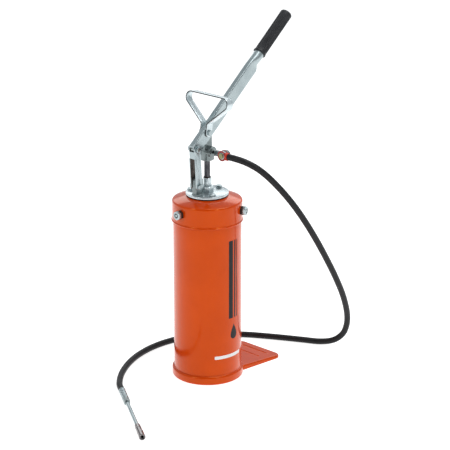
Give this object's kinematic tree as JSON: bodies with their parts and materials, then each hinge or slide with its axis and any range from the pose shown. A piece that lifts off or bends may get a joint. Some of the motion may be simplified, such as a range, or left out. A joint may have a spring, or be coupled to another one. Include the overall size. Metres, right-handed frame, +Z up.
{
  "type": "drum grease pump",
  "caption": "Hand-lever grease pump on a cylindrical steel drum with foot plate, carrying loop, compound lever linkage, delivery hose and nipple coupler",
  "frame": {"origin": "centre of the base cap's flat underside, on the floor the pump stands on", "axes": "+Z up along the drum; +X the side the hand lever and foot plate point to; pivot pins along Y, outlet towards -Y"},
  "size_m": [0.7254, 0.391, 0.8378],
  "materials": {
    "orange_paint": "gloss",
    "zinc_plate": "satin",
    "plain_steel": "satin",
    "hard_steel": "polished",
    "blackened_steel": "satin",
    "yellow_plate": "satin",
    "brass": "satin",
    "copper": "satin",
    "red_plastic": "gloss",
    "rubber": "matt",
    "packing": "matt"
  },
  "bodies": {
    "base": {"drum_shell": "orange_paint", "base_cap": "orange_paint", "foot_plate": "orange_paint", "lid": "orange_paint", "lid_gasket": "rubber", "lid_screws": "zinc_plate", "lid_nuts": "blackened_steel", "flange_gasket": "rubber", "pump_flange": "zinc_plate", "flange_bolts": "zinc_plate", "post": "plain_steel", "pump_barrel": "plain_steel", "foot_valve_body": "brass", "foot_valve_pin": "plain_steel", "gland_body": "zinc_plate", "gland_packing": "packing", "gland_nut": "zinc_plate", "scraper_ring": "rubber", "hose": "rubber", "hose_ferrule": "zinc_plate", "pipe_nut": "zinc_plate", "extension_pipe": "zinc_plate", "coupler_body": "plain_steel", "coupler_sleeve": "copper", "coupler_jaws": "hard_steel"},
    "link": {"link": "zinc_plate", "lower_bolt": "zinc_plate", "lower_nut": "zinc_plate", "upper_bolt": "zinc_plate", "upper_nut": "zinc_plate"},
    "lever": {"lever": "zinc_plate", "lever_bush": "plain_steel", "grip": "rubber"},
    "head": {"pump_head": "plain_steel", "piston_rod": "hard_steel", "piston": "brass", "piston_seal": "rubber", "piston_ball_pin": "plain_steel", "outlet_adapter": "plain_steel", "banjo_eye": "plain_steel", "banjo_bolt": "yellow_plate", "copper_washers": "copper", "hose_collar": "red_plastic", "head_bolt": "zinc_plate", "head_nut": "zinc_plate"},
    "loop": {"carry_loop": "zinc_plate"},
    "follower": {"follower_plate": "plain_steel", "follower_seal": "rubber"},
    "rod_valve_ball": {"piston_ball": "hard_steel"},
    "foot_valve_ball": {"foot_valve_ball": "hard_steel"}
  },
  "joints": [
    {"name": "link_hinge", "type": "hinge", "parent": "base", "child": "link", "pos_m": [-0.0365, 0, 0.475], "axis": [0, 1, 0], "range_deg": [-8.6, 1.6]},
    {"name": "lever_hinge", "type": "hinge", "parent": "link", "child": "lever", "pos_m": [-0.042, 0, 0.565], "axis": [0, -1, 0], "range_deg": [-48, 8]},
    {"name": "head_slide", "type": "slide", "parent": "base", "child": "head", "axis": [0, 0, 1], "range_m": [-0.0325, 0.0056]},
    {"name": "loop_hinge", "type": "hinge", "parent": "head", "child": "loop", "pos_m": [-0.004, 0, 0.597], "axis": [0, 1, 0], "range_deg": [-70, 13]},
    {"name": "follower_slide", "type": "slide", "parent": "base", "child": "follower", "axis": [0, 0, 1], "range_m": [-0.225, 0.1]},
    {"name": "rod_valve_lift", "type": "slide", "parent": "head", "child": "rod_valve_ball", "axis": [0, 0, 1], "range_m": [0, 0.0025]},
    {"name": "foot_valve_lift", "type": "slide", "parent": "base", "child": "foot_valve_ball", "axis": [0, 0, 1], "range_m": [0, 0.003]}
  ],
  "couplings": [
    {"joint": "link_hinge", "follows": "lever_hinge", "ratio": 0.1736},
    {"joint": "head_slide", "follows": "lever_hinge", "m_per_rad": 0.0382}
  ]
}
